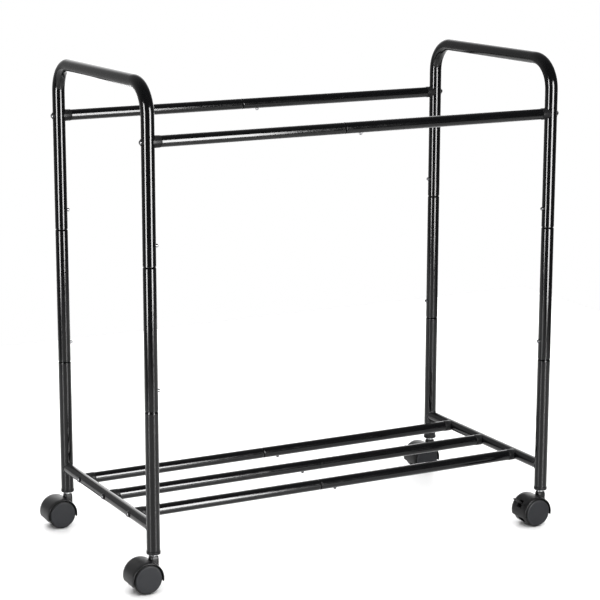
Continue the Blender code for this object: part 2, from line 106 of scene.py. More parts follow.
# Snap buttons
BUTTON_RISE = 32 * MM
RAIL_BUTTON_SHIFT = 30 * MM
POST_BUTTON_R = 3 * MM
RAIL_BUTTON_R = 2.75 * MM
POST_BUTTON_TIP = 15.5 * MM
RAIL_BUTTON_TIP = 13 * MM
BUTTON_SLACK = 0.3 * MM
SPRING_THICKNESS = 0.8 * MM
SPRING_ROOM = 0.96  # share of the bore's radius that the spring fills
SPRING_NEAR_END = 7 * MM
SPRING_FAR_END = 4 * MM
SPRING_FOLD = -14 * MM
FOLD_STEPS = 12

# Stem sockets and stems
SOCKET_FLANGE_R = 11.6 * MM
SOCKET_FLANGE = 5 * MM
SOCKET_BODY_R = 9.5 * MM
SOCKET_DEPTH = 30 * MM
SOCKET_BORE_R = 4.35 * MM
STEM_R = 4 * MM
STEM_GROOVE = 0.8 * MM
STEM_GROOVE_TOP = 6.5 * MM  # from the stem's top
STEM_GROOVE_BOTTOM = 8.5 * MM
STEM_COLLAR_R = 6.6 * MM
STEM_COLLAR_TOP = 0.8 * MM  # from the socket's flange
STEM_COLLAR_BOTTOM = 2.2 * MM

# Casters
TRAIL = 18 * MM
WHEEL_R = 25 * MM
WHEEL_WIDTH = 15.4 * MM
WHEEL_INNER_FACE = 7 * MM
WHEEL_FACE = 4.2 * MM  # from the cap's face to the inside of the wall behind it
CAP = 2.4 * MM
CAP_R = 22.7 * MM
CAP_SEAT = 0.3 * MM  # how far the cap is let into the wheel
HUB_R = 6 * MM
SPOKES = 6
SPOKE_START = 5.5 * MM
SPOKE_END = 22 * MM
SPOKE_HALF = 0.7 * MM  # half thickness at the hub
SPOKE_END_HALF = 0.6 * MM
SPOKE_DEPTH = 2.5 * MM  # from the wheel's open side
HOOD_R = 28 * MM
HOOD_WALL = 1.8 * MM
HOOD_HALF_WIDTH = 21.5 * MM
HOOD_FIRST_ANGLE = -13
HOOD_LAST_ANGLE = 198
HOOD_STEPS = 48
HOOD_WEB = 6.4 * MM
BOSS_R = 7.6 * MM
NECK_BOTTOM = 32 * MM
NECK_DROP = 1 * MM  # from the room's top, which the CAD sets, to the neck's top
NECK_HALF_X = 7.3 * MM
NECK_HALF_Y = 6.9 * MM
NECK_CURVE = 0.4  # power of a superellipse: 1 is an ellipse, and 0 a rectangle
AXLE_R = 2.5 * MM
AXLE_HALF = 17 * MM
RUNNING_GAP = 0.2 * MM

# Brake levers
LEVER_ANGLE = 145
LEVER_RING_R = 6.6 * MM
LEVER_ARM_HALF = 1.8 * MM
LEVER_HALF = 1.5 * MM  # half thickness
PEDAL_HALF = 5.4 * MM
LEVER_ARM_START = 4.5 * MM
PEDAL_START = 22 * MM
PEDAL_END = 44 * MM
RIDGE_PLACES = (33 * MM, 35.5 * MM, 38 * MM)
RIDGE_WIDTH = 1 * MM
RIDGE_HALF = 4 * MM  # half length
RIDGE_RISE = 0.35 * MM
NOTCH_HALF = 1.5 * MM
NOTCH_DEPTH = 2.6 * MM
SLOT_FIRST_ANGLE = 134
SLOT_LAST_ANGLE = 162
SLOT_START = 19.5 * MM
SLOT_SLACK = 0.6 * MM
SLOT_FLARE = 10  # degrees more each way near the axle

# Camera: where it stands, where it looks and how far its image is off the lens's axis
CAMERA_PLACE = (-1.6333, -3.0727, 1.1671)
CAMERA_YAW = 26.41
CAMERA_PITCH = 12.32
CAMERA_ROLL = -0.25
CAMERA_LENS = 123.35
CAMERA_SHIFT = 0.1
SENSOR_WIDTH = 36

# Studio: the softboxes have a name, a place, a target, a width and height, and a power
SOFTBOXES = (
    ("left_softbox", (-2.1, -0.75, 0.7), (0, 0, 0.7), (0.5, 1.4), 103),
    ("right_softbox", (0.45, -2.0, 0.7), (0.2, 0, 0.7), (0.7, 1.4), 140),
)
CEILING_PLACE = (0, 0, 3)
CEILING_TARGET = (0, 0.4, 0)
CEILING_POWER = 4.5
CEILING_SPREAD = 100  # degrees
BACKDROP = 1.0  # brightness that the camera sees
FRONT_FILL = 0.12  # brightness that lights the rack from the front, and from the rear
REAR_FILL = 0.55
FILL_START = -0.2  # rearward part of a direction, where the fill starts to grow, and where it ends
FILL_END = 0.9
GLOW_DIRECTION = (0.453, 0.89, 0.05)  # unit vector towards the bright part of the backdrop
GLOW_START = 0.72  # cosine of the angle from there at which the glow starts
GLOW = 2.4
FLOOR_HALF = 1.5
FLOOR_CELLS = 8

CORNERS = ("left_front", "left_rear", "right_front", "right_rear")
BRAKED = ("right_front", "right_rear")
UPPER_RAILS = ("upper_rail_front", "upper_rail_rear")
LOWER_RAILS = ("lower_rail_front", "lower_rail_middle", "lower_rail_rear")


# -------- places, from the CAD frame


def centre(node):
    """Middle of a CAD node's box."""
    low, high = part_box(node)
    return (low + high) / 2


POSTS = {corner: centre("mid_post_" + corner) for corner in CORNERS}
LOW_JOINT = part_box("mid_post_left_front")[0].z
HIGH_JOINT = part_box("hoop_left")[0].z
RAIL_HEIGHT = centre("upper_rail_front_left").z
CROSS_HEIGHT = centre("lower_rail_front_left").z
SOCKET_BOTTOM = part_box("stem_socket_left_front")[0].z
NECK_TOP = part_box("caster_hood_left_front")[1].z
STEM_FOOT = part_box("caster_stem_left_front")[0].z
STEM_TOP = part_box("caster_stem_left_front")[1].z
DEPTH = POSTS["left_rear"].y - POSTS["left_front"].y


# -------- shape tools


def ring(radius, height, sides):
    """Points of a circle about local Z. The height may be a function of the radius and the angle."""
    if radius == 0:
        return [Vector((0, 0, height))]
    points = []
    for i in range(sides):
        angle = 2 * math.pi * i / sides
        z = height(radius, angle) if callable(height) else height
        points.append(Vector((radius * math.cos(angle), radius * math.sin(angle), z)))
    return points


def loft(rings, closed):
    """A skin through rings of points. A ring of one point is a tip. Open lofts get flat caps."""
    shape = bmesh.new()
    loops = [[shape.verts.new(point) for point in points] for points in rings]
    pairs = list(zip(loops, loops[1:]))
    if closed:
        pairs.append((loops[-1], loops[0]))
    for first, second in pairs:
        count = max(len(first), len(second))
        for i in range(count):
            j = (i + 1) % count
            corners = [first[i % len(first)], first[j % len(first)]]
            corners += [second[j % len(second)], second[i % len(second)]]
            face = list(dict.fromkeys(corners))
            if len(face) > 2:
                shape.faces.new(face)
    if not closed:
        for loop in (loops[0], loops[-1]):
            if len(loop) > 2:
                shape.faces.new(loop)
    bmesh.ops.recalc_face_normals(shape, faces=shape.faces)
    return shape


def lathed(profile, sides, closed=True):
    """A line of (radius, height) turned about local Z."""
    return loft([ring(radius, height, sides) for radius, height in profile], closed)


def filleted(corners, closed=True, steps=4):
    """A line in a plane with its corners rounded. A corner is (x, y) or (x, y, rounding)."""
    line = []
    count = len(corners)
    for i, corner in enumerate(corners):
        here = Vector(corner[:2])
        at_end = not closed and i in (0, count - 1)
        if len(corner) < 3 or at_end:
            line.append(here)
            continue
        back = (Vector(corners[i - 1][:2]) - here).normalized()
        ahead = (Vector(corners[(i + 1) % count][:2]) - here).normalized()
        half = back.angle(ahead) / 2
        reach = corner[2] / math.tan(half)
        middle = here + (back + ahead).normalized() * corner[2] / math.sin(half)
        start = here + back * reach - middle
        end = here + ahead * reach - middle
        for k in range(steps + 1):
            line.append(middle + start.lerp(end, k / steps).normalized() * corner[2])
    return line


def supported(line, closed, stops=()):
    """Adds points near the ends of a profile's long runs, and at given heights of upright ones.

    They keep the wear on an outer corner, and the faces round a hole, from running down the piece.
    """
    full = []
    count = len(line)
    for i, here in enumerate(line):
        full.append(here)
        if i == count - 1 and not closed:
            break
        after = line[(i + 1) % count]
        length = (after - here).length
        run = (after - here).normalized()
        if length > 3 * SUPPORT:
            shares = [SUPPORT / length, 1 - SUPPORT / length]
            if abs(run.y) > 0.9:
                shares += [(stop - here.y) / (after.y - here.y) for stop in stops]
            full += [here.lerp(after, share) for share in sorted(shares) if 0 < share < 1]
    return full


def turned(corners, sides, closed=True, steps=4, stops=()):
    """A profile of (radius, height, rounding) turned about local Z. stops are heights of extra rings."""
    line = supported(filleted(corners, closed, steps), closed, stops)
    return lathed(line, sides, closed)


def around(*heights):
    """Heights of the rings above and below holes at these heights."""
    return [height + side * HOLE_MARGIN for height in heights for side in (-1, 1)]


def pin(radius, half, rounding, sides):
    """A bar along local Z, to half its length each way, with rounded ends."""
    corners = [(0, -half), (radius, -half, rounding), (radius, half, rounding), (0, half)]
    return turned(corners, sides, False)


def prism(outline, low, high):
    """A flat outline in the XY plane, raised along Z."""
    return loft([[Vector((x, y, z)) for x, y in outline] for z in (low, high)], False)


def softened(shape, width, segments=2, angle=50):
    """Rounds the edges that are sharper than an angle in degrees."""
    least = math.radians(angle)
    sharp = [edge for edge in shape.edges if edge.is_manifold and edge.calc_face_angle() > least]
    bmesh.ops.bevel(
        shape,
        geom=sharp,
        offset=width,
        segments=segments,
        profile=0.5,
        affect="EDGES",
        clamp_overlap=True,
    )
    return shape


def moved(shape, matrix):
    """The same shape, turned and moved."""
    bmesh.ops.transform(shape, matrix=matrix, verts=shape.verts)
    return shape


def to_mesh(shape, name):
    """A mesh made of a shape, which is then gone."""
    mesh = bpy.data.meshes.new(name)
    shape.to_mesh(mesh)
    shape.free()
    return mesh


def add_object(name, data):
    """A new object in the scene."""
    made = bpy.data.objects.new(name, data)
    bpy.context.scene.collection.objects.link(made)
    return made


def joined(first, *others):
    """One shape of several that touch."""
    for other in others:
        mesh = to_mesh(other, "part")
        first.from_mesh(mesh)
        bpy.data.meshes.remove(mesh)
    return first


def carved(shape, operation, *tools):
    """A shape with other shapes cut from it or fused to it."""
    drafts = [add_object("draft", to_mesh(part, "draft")) for part in (shape, *tools)]
    for tool in drafts[1:]:
        modifier = drafts[0].modifiers.new("carve", "BOOLEAN")
        modifier.solver = "EXACT"
        modifier.operation = operation
        modifier.object = tool
    result = bmesh.new()
    result.from_object(drafts[0], bpy.context.evaluated_depsgraph_get())
    for draft in drafts:
        mesh = draft.data
        bpy.data.objects.remove(draft, do_unlink=True)
        bpy.data.meshes.remove(mesh)
    return result


def rotated(degrees, axis):
    """A turn about an axis."""
    return Matrix.Rotation(math.radians(degrees), 4, axis)


def at(x, y, z):
    """A move to a place."""
    return Matrix.Translation((x, y, z))


def to_x(x=0.0, y=0.0, z=0.0):
    """Turns local Z to +X and moves the origin."""
    return at(x, y, z) @ rotated(90, "Y")


def to_y(x=0.0, y=0.0, z=0.0):
    """Turns local Z to +Y and moves the origin."""
    return at(x, y, z) @ rotated(-90, "X")


def bar(radius, low, high):
    """A plain round cutter along local Z."""
    return lathed([(radius, low), (radius, high)], SMALL_SIDES, False)


def half_turn(turn):
    """Half a turn about Z, or none."""
    return rotated(180 if turn else 0, "Z")


# -------- finished meshes and pieces


def finished(shape, name, look):
    """A smooth-shaded mesh. Its edge attribute is 1 on outer corners, where the finish wears."""
    start = math.radians(WEAR_START)
    full = math.radians(WEAR_FULL)
    bmesh.ops.remove_doubles(shape, verts=shape.verts, dist=WELDED)
    layer = shape.verts.layers.float.new("edge")
    for vert in shape.verts:
        edges = [edge for edge in vert.link_edges if len(edge.link_faces) == 2]
        sharpest = max([edge.calc_face_angle_signed(0) for edge in edges], default=0)
        vert[layer] = min(1, max(0, (sharpest - start) / (full - start)))
    for face in shape.faces:
        face.smooth = True
    mesh = to_mesh(shape, name)
    mesh.set_sharp_from_angle(angle=math.radians(SHARP_ANGLE))
    mesh.materials.append(look)
    return mesh


def piece(name, mesh, body, matrix, replaces=None):
    """Puts a finished mesh in its place, on its body."""
    made = add_object(name, mesh)
    made.matrix_world = matrix
    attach(made, body)
    if replaces:
        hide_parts(replaces)
    return made


# -------- materials


# Sockets of a Mix node that are for colours
MIX_COLOUR_INPUTS = (6, 7)
MIX_COLOUR_OUTPUT = 2


def add_node(tree, kind, inputs=None, **settings):
    """A new shader node, with its settings and the values of its unlinked inputs."""
    node = tree.nodes.new("ShaderNode" + kind)
    for key, value in settings.items():
        setattr(node, key, value)
    for key, value in (inputs or {}).items():
        node.inputs[key].default_value = value
    return node


class Graph:
    """A short way to write a material's nodes. Each method returns a new node's output."""

    def __init__(self, name):
        self.material = bpy.data.materials.new(name)
        self.material.use_nodes = True
        self.tree = self.material.node_tree
        self.shader = self.tree.nodes["Principled BSDF"]
        self.place = add_node(self.tree, "TexCoord").outputs["Object"]

    def link(self, output, target):
        """Joins two sockets."""
        self.tree.links.new(output, target)

    def constant(self, name, value):
        """Sets one of the shader's own inputs, which is the same all over the surface."""
        self.shader.inputs[name].default_value = value

    def noise(self, scale, detail=3.0, roughness=0.55, stretch=None):
        """Noise with its cells about 1 / scale metres wide. stretch scales the place first."""
        settings = {"Scale": scale, "Detail": detail, "Roughness": roughness}
        node = add_node(self.tree, "TexNoise", settings)
        place = self.place
        if stretch:
            mapping = add_node(self.tree, "Mapping", {"Scale": stretch})
            self.link(place, mapping.inputs["Vector"])
            place = mapping.outputs["Vector"]
        self.link(place, node.inputs["Vector"])
        return node.outputs["Fac"]

    def cells(self, scale):
        """Rounded pits about 1 / scale metres wide."""
        node = add_node(self.tree, "TexVoronoi", {"Scale": scale})
        self.link(self.place, node.inputs["Vector"])
        return node.outputs["Distance"]

    def spread(self, value, low, high, to_low, to_high):
        """Maps a value from one range to another."""
        limits = {"From Min": low, "From Max": high, "To Min": to_low, "To Max": to_high}
        node = add_node(self.tree, "MapRange", limits)
        self.link(value, node.inputs["Value"])
        return node.outputs["Result"]

    def combined(self, operation, first, second):
        """A Math node on two outputs, or on an output and a number."""
        node = add_node(self.tree, "Math", operation=operation)
        self.link(first, node.inputs[0])
        if isinstance(second, (int, float)):
            node.inputs[1].default_value = second
        else:
            self.link(second, node.inputs[1])
        return node.outputs[0]

    def blended(self, factor, first, second):
        """Two colours mixed by a factor. Each is an output or three numbers."""
        node = add_node(self.tree, "Mix", data_type="RGBA")
        first_input, second_input = [node.inputs[k] for k in MIX_COLOUR_INPUTS]
        self.link(factor, node.inputs["Factor"])
        for colour, target in ((first, first_input), (second, second_input)):
            if isinstance(colour, tuple):
                target.default_value = (*colour, 1)
            else:
                self.link(colour, target)
        return node.outputs[MIX_COLOUR_OUTPUT]

    def edges(self):
        """1 on outer corners and 0 elsewhere."""
        return add_node(self.tree, "Attribute", attribute_name="edge").outputs["Fac"]

    def bump(self, height, strength, distance, after=None):
        """A surface raised by a height, on top of another bump."""
        node = add_node(self.tree, "Bump", {"Strength": strength, "Distance": distance})
        self.link(height, node.inputs["Height"])
        if after:
            self.link(after, node.inputs["Normal"])
        return node.outputs["Normal"]

    def finish(self, colour, roughness, normal):
        """Links what varies over the surface to the shader."""
        self.link(colour, self.shader.inputs["Base Color"])
        self.link(roughness, self.shader.inputs["Roughness"])
        self.link(normal, self.shader.inputs["Normal"])
        return self.material


def enamel_look():
    """Gloss black enamel: fine orange peel, faint dust, and paint rubbed thin on edges."""
    deep = (0.0022, 0.0023, 0.0027)
    lifted = (0.0040, 0.0041, 0.0046)
    dust = (0.02, 0.02, 0.021)
    thin = (0.03, 0.03, 0.031)
    graph = Graph("enamel")
    broad = graph.noise(9, 4)
    specks = graph.spread(graph.noise(1400, 2), 0.66, 0.74, 0, 1)
    scuffs = graph.spread(graph.noise(120, 5, 0.65, (1, 1, 0.25)), 0.56, 0.74, 0, 1)
    base = graph.blended(broad, deep, lifted)
    dusty = graph.blended(graph.combined("MULTIPLY", specks, 0.35), base, dust)
    patches = graph.spread(graph.noise(420, 4), 0.42, 0.62, 0, 0.75)
    rubbed = graph.combined("MULTIPLY", graph.edges(), patches)
    colour = graph.blended(rubbed, dusty, thin)
    smooth = graph.spread(graph.noise(55, 3), 0.3, 0.7, 0.10, 0.15)
    scuffed = graph.combined("ADD", smooth, graph.combined("MULTIPLY", scuffs, 0.06))
    roughness = graph.combined("ADD", scuffed, graph.combined("MULTIPLY", rubbed, 0.15))
    peel = graph.bump(graph.noise(420, 2), 0.05, 0.05 * MM)
    normal = graph.bump(specks, 0.08, 0.02 * MM, peel)
    graph.constant("Specular IOR Level", 0.25)
    return graph.finish(colour, roughness, normal)


def moulded_look(name, dark, light, worn, gloss, sheen, grain, depth):
    """Moulded plastic: spark-eroded grain, slow tone changes, polished and greyed outer edges.

    gloss is the roughness, sheen the strength of the reflection, and grain is in cells per metre.
    """
    graph = Graph(name)
    broad = graph.spread(graph.noise(28, 4), 0.3, 0.7, 0, 1)
    fine = graph.noise(grain, 3, 0.6)
    base = graph.blended(broad, dark, light)
    speckled = graph.blended(graph.spread(fine, 0.55, 0.8, 0, 0.35), base, worn)
    patches = graph.spread(graph.noise(350, 4), 0.35, 0.6, 0.1, 0.7)
    rubbed = graph.combined("MULTIPLY", graph.edges(), patches)
    colour = graph.blended(rubbed, speckled, worn)
    matt = graph.spread(graph.noise(60, 3), 0.3, 0.7, gloss - 0.04, gloss + 0.06)
    roughness = graph.combined("SUBTRACT", matt, graph.combined("MULTIPLY", rubbed, 0.12))
    texture = graph.bump(graph.cells(grain * 0.8), 0.35, depth)
    normal = graph.bump(fine, 0.25, depth, texture)
    graph.constant("Specular IOR Level", sheen)
    return graph.finish(colour, roughness, normal)


def steel_look(name, dark, light, gloss):
    """Plated steel: faint turning marks round the piece, and dull spots. gloss is the roughness."""
    graph = Graph(name)
    graph.constant("Metallic", 1.0)
    marks = graph.noise(2500, 2, 0.5, (0.15, 0.15, 1))
    spots = graph.spread(graph.noise(600, 4), 0.5, 0.75, 0, 1)
    colour = graph.blended(spots, light, dark)
    turned_marks = graph.spread(marks, 0.3, 0.7, gloss, gloss + 0.1)
    roughness = graph.combined("ADD", turned_marks, graph.combined("MULTIPLY", spots, 0.12))
    return graph.finish(colour, roughness, graph.bump(marks, 0.12, 0.03 * MM))


def floor_look():
    """White satin studio paper with the faintest mottling."""
    graph = Graph("studio_paper")
    fibre = graph.noise(900, 3)
    colour = graph.blended(graph.noise(3, 3), (0.87, 0.87, 0.87), (0.9, 0.9, 0.9))
    roughness = graph.spread(fibre, 0, 1, 0.38, 0.47)
    graph.constant("Specular IOR Level", 0.45)
    return graph.finish(colour, roughness, graph.bump(fibre, 0.1, 0.1 * MM))


# -------- tubes


def swaged_profile(outer_r, foot, joint):
    """Corners of a tube whose top end steps down into the next tube: up the outside, down the inside."""
    swage_r = outer_r - SWAGE_STEP
    inner_r = swage_r - SWAGE_WALL
    return [
        (outer_r - LIP, foot),
        (outer_r, foot + LIP, LIP / 2),
        (outer_r, joint - SHOULDER, 1.6 * MM),
        (swage_r, joint - JOINT_GAP, 1.1 * MM),
        (swage_r, joint + INSERT, 0.4 * MM),
        (inner_r, joint + INSERT, 0.3 * MM),
        (inner_r, joint - SHOULDER),
        (outer_r - WALL, joint - 2 * SHOULDER),
        (outer_r - WALL, foot),
    ]


def button_cut(radius, height):
    """Hole for a snap button in the wall that faces local +X."""
    return moved(bar(radius + BUTTON_SLACK, 0, 2 * POST_R), to_x(0, 0, height))


def mid_post_shape():
    """Middle post from its own lower joint up, with a button hole above each joint."""
    length = HIGH_JOINT - LOW_JOINT
    holes = (BUTTON_RISE, length + BUTTON_RISE)
    post = turned(swaged_profile(POST_R, 0, length), TUBE_SIDES, stops=around(*holes))
    cuts = [button_cut(POST_BUTTON_R, height) for height in holes]
    return carved(post, "DIFFERENCE", *cuts)


def base_post_shape():
    """Short post of the base frame, from the floor up, with its foot on the socket's flange."""
    foot = SOCKET_BOTTOM + SOCKET_FLANGE + 0.3 * MM
    hole = LOW_JOINT + BUTTON_RISE
    post = turned(swaged_profile(POST_R, foot, LOW_JOINT), TUBE_SIDES, stops=around(hole))
    return carved(post, "DIFFERENCE", button_cut(POST_BUTTON_R, hole))


def hoop_ring(y, z, angle, radius):
    """A ring round the hoop's line, where the line's direction is at an angle in the YZ plane."""
    middle = Vector((0, y, z))
    sideways = Vector((1, 0, 0))
    across = Vector((0, -math.sin(angle), math.cos(angle)))
    points = []
    for i in range(TUBE_SIDES):
        turn = 2 * math.pi * i / TUBE_SIDES
        points.append(middle + radius * (math.cos(turn) * sideways + math.sin(turn) * across))
    return points


def hoop_line():
    """Places and directions along the hoop: up the front leg, over the top and down the rear leg."""
    foot = HIGH_JOINT
    bend_y = DEPTH / 2 - HOOP_BEND
    bend_z = HOOP_HEIGHT - HOOP_BEND
    leg = [foot + LIP, foot + LIP + SUPPORT] + around(foot + BUTTON_RISE, RAIL_HEIGHT)
    line = [(-DEPTH / 2, z, math.pi / 2) for z in leg]
    for side, first in ((-1, math.pi), (1, math.pi / 2)):
        for k in range(BEND_STEPS + 1):
            angle = first - math.pi / 2 * k / BEND_STEPS
            y = side * bend_y + HOOP_BEND * math.cos(angle)
            z = bend_z + HOOP_BEND * math.sin(angle)
            line.append((y, z, angle - math.pi / 2))
    line += [(DEPTH / 2, z, -math.pi / 2) for z in leg[::-1]]
    return line


def hoop_shape():
    """Upside-down U of tube, which is also the handle, with button holes and screw holes."""
    line = hoop_line()
    foot = HIGH_JOINT
    up = (-DEPTH / 2, foot, math.pi / 2)
    down = (DEPTH / 2, foot, -math.pi / 2)
    rings = [hoop_ring(*up, POST_R - LIP)]
    rings += [hoop_ring(*place, POST_R) for place in line]
    rings.append(hoop_ring(*down, POST_R - LIP))
    rings.append(hoop_ring(*down, POST_R - WALL))
    rings += [hoop_ring(*place, POST_R - WALL) for place in line[::-1]]
    rings.append(hoop_ring(*up, POST_R - WALL))
    cuts = []
    for y in (-DEPTH / 2, DEPTH / 2):
        button_hole = button_cut(POST_BUTTON_R, foot + BUTTON_RISE)
        cuts.append(moved(button_hole, at(0, y, 0)))
        cuts.append(moved(bar(SCREW_HOLE_R, -2 * POST_R, 2 * POST_R), to_x(0, y, RAIL_HEIGHT)))
    return carved(loft(rings, True), "DIFFERENCE", *cuts)


def saddle(held_r, sign=1, shift=0.0, least=0.0):
    """Height, as a function, of a saddle that hugs a tube along local Y at a height on local Z.

    sign is the tube's side that it hugs, shift the tube's height, and least the saddle's lowest rise.
    """

    def height(radius, angle):
        across = radius * math.cos(angle)
        return shift + sign * max(least, math.sqrt(max(0, held_r**2 - across**2)))

    return height


def cross_tube_shape():
    """Tube between the posts, along local Z, with both ends cut to the posts' outsides."""
    half = DEPTH / 2
    held_r = POST_R - 0.3 * MM
    holes = [centre(row + "_left").y for row in LOWER_RAILS]
    levels = [saddle(held_r, 1, -half), -half + 2 * POST_R]
    levels += sorted(around(*holes))
    levels += [half - 2 * POST_R, saddle(held_r, -1, half)]
    profile = [(RAIL_R, height) for height in levels]
    profile += [(RAIL_R - WALL, height) for height in levels[::-1]]
    cuts = [moved(bar(SCREW_HOLE_R, -2 * RAIL_R, 2 * RAIL_R), to_x(0, 0, height)) for height in holes]
    return carved(lathed(profile, TUBE_SIDES), "DIFFERENCE", *cuts)


def weld_shape():
    """Painted weld bead round the end of a cross tube, which points along local Z."""
    up = Vector((0, 0, 1))
    height = saddle(POST_R)
    rings = []
    for i in range(2 * TUBE_SIDES):
        angle = math.pi * i / TUBE_SIDES
        ripple = 1 + COARSE_RIPPLE * math.sin(9 * angle) + FINE_RIPPLE * math.sin(23 * angle + 1)
        outward = Vector((math.cos(angle), math.sin(angle), 0))
        middle = outward * RAIL_R + Vector((0, 0, height(RAIL_R, angle)))
        points = []
        for k in range(WELD_SIDES):
            turn = 2 * math.pi * k / WELD_SIDES
            points.append(middle + WELD_R * ripple * (math.cos(turn) * outward + math.sin(turn) * up))
        rings.append(points)
    return loft(rings, True)


def rail_half_shape(length, reduced, held_r):
    """Half of a rail along local Z, with its origin at the joint.

    length is from there to the axis of the held tube. The reduced half reaches back from the joint.
    """
    cut_end = length - held_r - COLLAR_LENGTH
    if reduced:
        corners = swaged_profile(RAIL_R, -cut_end, 0)
    else:
        corners = [
            (RAIL_R - LIP, 0),
            (RAIL_R, LIP, LIP / 2),
            (RAIL_R, cut_end - LIP, LIP / 2),
            (RAIL_R - LIP, cut_end),
            (RAIL_R - WALL, cut_end),
            (RAIL_R - WALL, 0),
        ]
    half = turned(corners, TUBE_SIDES, stops=around(RAIL_BUTTON_SHIFT))
    return carved(half, "DIFFERENCE", button_cut(RAIL_BUTTON_R, RAIL_BUTTON_SHIFT))


def plug_shape(held_r):
    """Rail end plug along local Z, from the axis of the tube that its saddle hugs."""
    hug = saddle(held_r, 1, 0, SADDLE_START)
    collar_end = held_r + COLLAR_LENGTH
    insert_r = RAIL_R - WALL - 0.1 * MM
    profile = [
        (SCREW_R, collar_end + PLUG_INSERT),
        (SCREW_R, hug),
        (COLLAR_R - 2.2 * MM, hug),
        (COLLAR_R - 0.3 * MM, hug),
        (COLLAR_R, saddle(held_r, 1, 0.45 * MM, SADDLE_START)),
        (COLLAR_R, collar_end - 1.1 * MM),
        (COLLAR_R - 0.15 * MM, collar_end - 0.5 * MM),
        (COLLAR_R - 0.6 * MM, collar_end - 0.08 * MM),
        (insert_r, collar_end - 0.08 * MM),
        (insert_r, collar_end + PLUG_INSERT - MM),
        (insert_r - 0.8 * MM, collar_end + PLUG_INSERT),
    ]
    return lathed(profile, TUBE_SIDES)


def washer_shape(held_r):
    """Saddle washer on a tube along local Y: hollowed to the tube below and crowned above."""
    top = held_r + WASHER
    profile = [
        (SCREW_R + 0.3 * MM, saddle(held_r, 1, 0.02 * MM)),
        (WASHER_R, saddle(held_r, 1, 0.02 * MM)),
        (WASHER_R + 0.25 * MM, saddle(held_r, 1, 0.5 * MM)),
        (WASHER_R, saddle(held_r, 1, 1.0 * MM)),
        (WASHER_R - MM, saddle(held_r, 1, 1.35 * MM)),
        (SCREW_HEAD_R + 0.3 * MM, top),
        (SCREW_R + 0.3 * MM, top),
    ]
    return lathed(profile, SMALL_SIDES)


def screw_shape(held_r):
    """Pan-head screw through a tube into a plug, along local Z, with a cross recess."""
    seat = held_r + WASHER
    top = seat + SCREW_HEAD
    corners = [
        (0, top),
        (1.6 * MM, top - 0.08 * MM, 1 * MM),
        (3.2 * MM, top - 0.7 * MM, 1 * MM),
        (SCREW_HEAD_R, seat + 0.6 * MM, 0.5 * MM),
        (SCREW_HEAD_R, seat + 0.05 * MM, 0.15 * MM),
        (SCREW_THREAD_R, seat + 0.05 * MM),
        (SCREW_THREAD_R, -held_r - SCREW_REACH),
        (0, -held_r - SCREW_REACH - SCREW_POINT),
    ]
    head = turned(corners, SMALL_SIDES, False)
    wing = [(-1, -1), (1, -1), (1, 1), (-1, 1)]
    slots = []
    for turn in (RECESS_TURN, RECESS_TURN + 90):
        rings = []
        for z, length_share, width_share in ((top - RECESS_DEPTH, 0.35, 0.6), (top + 0.6 * MM, 1, 1)):
            half_length = RECESS_HALF_LENGTH * length_share
            half_width = RECESS_HALF_WIDTH * width_share
            rings.append([Vector((x * half_length, y * half_width, z)) for x, y in wing])
        slots.append(moved(loft(rings, False), rotated(turn, "Z")))
    return carved(head, "DIFFERENCE", *slots)


# -------- snap buttons


def ribbon(line, thickness):
    """Outline of a strip of even thickness along a line of points in a plane."""
    left = []
    right = []
    for i, point in enumerate(line):
        run = (line[min(i + 1, len(line) - 1)] - line[max(i - 1, 0)]).normalized()
        across = Vector((-run.y, run.x)) * thickness / 2
        left.append(point + across)
        right.append(point - across)
    return left + right[::-1]


def snap_button_shape(button_r, tip, bore_r):
    """A domed button on one arm of a V spring. It points to +X, with its origin on the tube's axis.

    bore_r is the inner radius of the reduced tube that holds the spring.
    """
    strip_half = button_r - SPRING_THICKNESS / 2
    near_arm = math.sqrt((SPRING_ROOM * bore_r) ** 2 - strip_half**2) - SPRING_THICKNESS
    fold_r = near_arm / 4
    fold = Vector((near_arm - fold_r, SPRING_FOLD))
    line = [Vector((near_arm, SPRING_NEAR_END))]
    for k in range(FOLD_STEPS + 1):
        angle = -math.pi * k / FOLD_STEPS
        line.append(fold + fold_r * Vector((math.cos(angle), math.sin(angle))))
    line.append(Vector((-0.05 * bore_r, SPRING_FAR_END)))
    spring = softened(prism(ribbon(line, SPRING_THICKNESS), -strip_half, strip_half), 0.15 * MM)
    moved(spring, rotated(90, "X"))
    corners = [
        (0, tip),
        (0.55 * button_r, tip - 0.09 * button_r, 0.5 * button_r),
        (button_r, tip - 0.55 * button_r, 0.5 * button_r),
        (button_r, near_arm),
        (0, near_arm),
    ]
    dome = moved(turned(corners, SMALL_SIDES, False, 8), to_x())
    return joined(spring, dome)


# -------- casters


def socket_shape():
    """Plastic bush in the foot of a post, with a rounded flange below the tube."""
    top = SOCKET_BOTTOM + SOCKET_FLANGE + SOCKET_DEPTH
    flange_top = SOCKET_BOTTOM + SOCKET_FLANGE
    corners = [
        (SOCKET_BODY_R, top, 0.8 * MM),
        (SOCKET_BODY_R, flange_top),
        (SOCKET_FLANGE_R, flange_top, 0.4 * MM),
        (SOCKET_FLANGE_R, SOCKET_BOTTOM, 1.2 * MM),
        (SOCKET_BORE_R, SOCKET_BOTTOM, 0.5 * MM),
        (SOCKET_BORE_R, top, 0.5 * MM),
    ]
    return turned(corners, TUBE_SIDES, True, 5)


